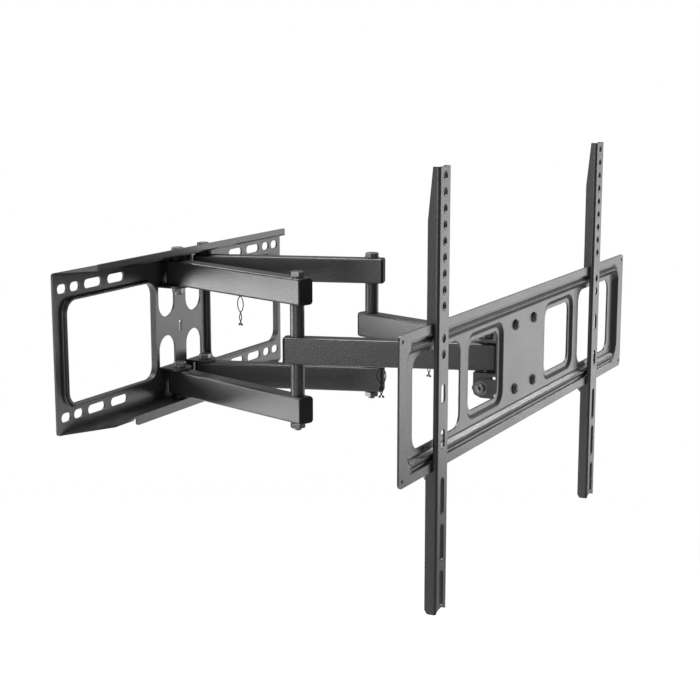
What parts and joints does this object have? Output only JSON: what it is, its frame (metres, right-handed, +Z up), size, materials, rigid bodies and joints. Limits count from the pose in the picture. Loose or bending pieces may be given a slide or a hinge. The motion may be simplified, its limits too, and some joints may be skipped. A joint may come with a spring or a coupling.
{
  "type": "full motion tv wall mount",
  "caption": "Wall mount with a windowed wall plate, two parallel folding arms, a tilting head, a pressed TV plate and slotted sliding rails.",
  "frame": {"origin": "middle of the wall plate's height and width, on the plane of the wall", "axes": "+Y goes into the wall, +Z is up, +X is to the right for someone who faces the wall"},
  "size_m": [0.657, 0.4609, 0.4325],
  "materials": {
    "wall_plate": "satin black powder coat on pressed steel",
    "arm_tubes": "satin black powder coat on steel tube",
    "head_sheet": "satin black powder coat on bent steel sheet",
    "tv_plate": "satin black powder coat on pressed steel",
    "rails": "satin black powder coat on bent steel channel",
    "plastic_caps": "moulded black plastic",
    "cable_clips": "springy black plastic wire",
    "fasteners": "blackened steel, worn bright on the edges",
    "rivets": "blackened steel dome rivets"
  },
  "bodies": {
    "wall": {"wall_plate": "wall_plate", "shoulder_bolt_upper_left": "fasteners", "shoulder_nut_upper_left": "fasteners", "shoulder_washer_upper_left": "plastic_caps", "shoulder_bolt_lower_left": "fasteners", "shoulder_nut_lower_left": "fasteners", "shoulder_washer_lower_left": "plastic_caps", "shoulder_bolt_upper_right": "fasteners", "shoulder_nut_upper_right": "fasteners", "shoulder_washer_upper_right": "plastic_caps", "shoulder_bolt_lower_right": "fasteners", "shoulder_nut_lower_right": "fasteners", "shoulder_washer_lower_right": "plastic_caps"},
    "link_left": {"link_upper_left": "arm_tubes", "cap_wall_upper_left": "plastic_caps", "cap_elbow_upper_left": "plastic_caps", "elbow_spacer_upper_left": "arm_tubes", "link_lower_left": "arm_tubes", "cap_wall_lower_left": "plastic_caps", "cap_elbow_lower_left": "plastic_caps", "elbow_spacer_lower_left": "arm_tubes", "elbow_bolt_left": "fasteners", "elbow_nut_left": "fasteners", "cable_clip_link_left": "cable_clips"},
    "forearm_left": {"forearm_left": "arm_tubes", "cap_forearm_elbow_left": "plastic_caps", "cap_forearm_head_left": "plastic_caps", "cable_clip_forearm_left": "cable_clips"},
    "link_right": {"link_upper_right": "arm_tubes", "cap_wall_upper_right": "plastic_caps", "cap_elbow_upper_right": "plastic_caps", "elbow_spacer_upper_right": "arm_tubes", "link_lower_right": "arm_tubes", "cap_wall_lower_right": "plastic_caps", "cap_elbow_lower_right": "plastic_caps", "elbow_spacer_lower_right": "arm_tubes", "elbow_bolt_right": "fasteners", "elbow_nut_right": "fasteners"},
    "forearm_right": {"forearm_right": "arm_tubes", "cap_forearm_elbow_right": "plastic_caps", "cap_forearm_head_right": "plastic_caps", "cable_clip_forearm_right": "cable_clips"},
    "head": {"head_clevis": "head_sheet", "head_bolt_left": "fasteners", "head_nut_left": "fasteners", "tilt_screw_left": "fasteners", "head_bolt_right": "fasteners", "head_nut_right": "fasteners", "tilt_screw_right": "fasteners"},
    "tv_side": {"tilt_bracket": "head_sheet", "tv_plate": "tv_plate", "dome_rivet_1": "rivets", "dome_rivet_2": "rivets", "dome_rivet_3": "rivets", "dome_rivet_4": "rivets"},
    "rail_left": {"rail_left": "rails"},
    "lock_screw_left": {"lock_screw_left": "fasteners"},
    "rail_right": {"rail_right": "rails"},
    "lock_screw_right": {"lock_screw_right": "fasteners"}
  },
  "joints": [
    {"name": "fold", "type": "hinge", "parent": "wall", "child": "link_left", "pos_m": [-0.028, -0.019, 0], "axis": [0, 0, -1], "range_deg": [-16, 68]},
    {"name": "elbow_left", "type": "hinge", "parent": "link_left", "child": "forearm_left", "pos_m": [-0.09199, -0.21796, 0], "axis": [0, 0, -1], "range_deg": [-138, 34]},
    {"name": "wrist_left", "type": "hinge", "parent": "forearm_left", "child": "head", "pos_m": [-0.028, -0.41692, 0], "axis": [0, 0, -1], "range_deg": [-17, 69]},
    {"name": "shoulder_right", "type": "hinge", "parent": "wall", "child": "link_right", "pos_m": [0.028, -0.019, 0], "axis": [0, 0, 1], "range_deg": [-17, 69]},
    {"name": "elbow_right", "type": "hinge", "parent": "link_right", "child": "forearm_right", "pos_m": [0.09199, -0.21796, 0], "axis": [0, 0, 1], "range_deg": [-138, 34]},
    {"name": "tilt", "type": "hinge", "parent": "head", "child": "tv_side", "pos_m": [0, -0.41692, -0.033], "axis": [1, 0, 0], "range_deg": [-5, 15]},
    {"name": "rail_slide_left", "type": "slide", "parent": "tv_side", "child": "rail_left", "axis": [1, 0, 0], "range_m": [-0.06, 0.172]},
    {"name": "rail_slide_right", "type": "slide", "parent": "tv_side", "child": "rail_right", "axis": [1, 0, 0], "range_m": [-0.139, 0.093]},
    {"name": "lock_turn_left", "type": "hinge", "parent": "rail_left", "child": "lock_screw_left", "pos_m": [-0.242, -0.45412, -0.0706], "axis": [0, 0.7071, -0.7071], "continuous": true},
    {"name": "lock_turn_right", "type": "hinge", "parent": "rail_right", "child": "lock_screw_right", "pos_m": [0.209, -0.45412, -0.0706], "axis": [0, 0.7071, -0.7071], "continuous": true}
  ],
  "couplings": [
    {"joint": "elbow_left", "follows": "fold", "ratio": -2},
    {"joint": "wrist_left", "follows": "fold", "ratio": 1},
    {"joint": "shoulder_right", "follows": "fold", "ratio": 1},
    {"joint": "elbow_right", "follows": "fold", "ratio": -2}
  ]
}
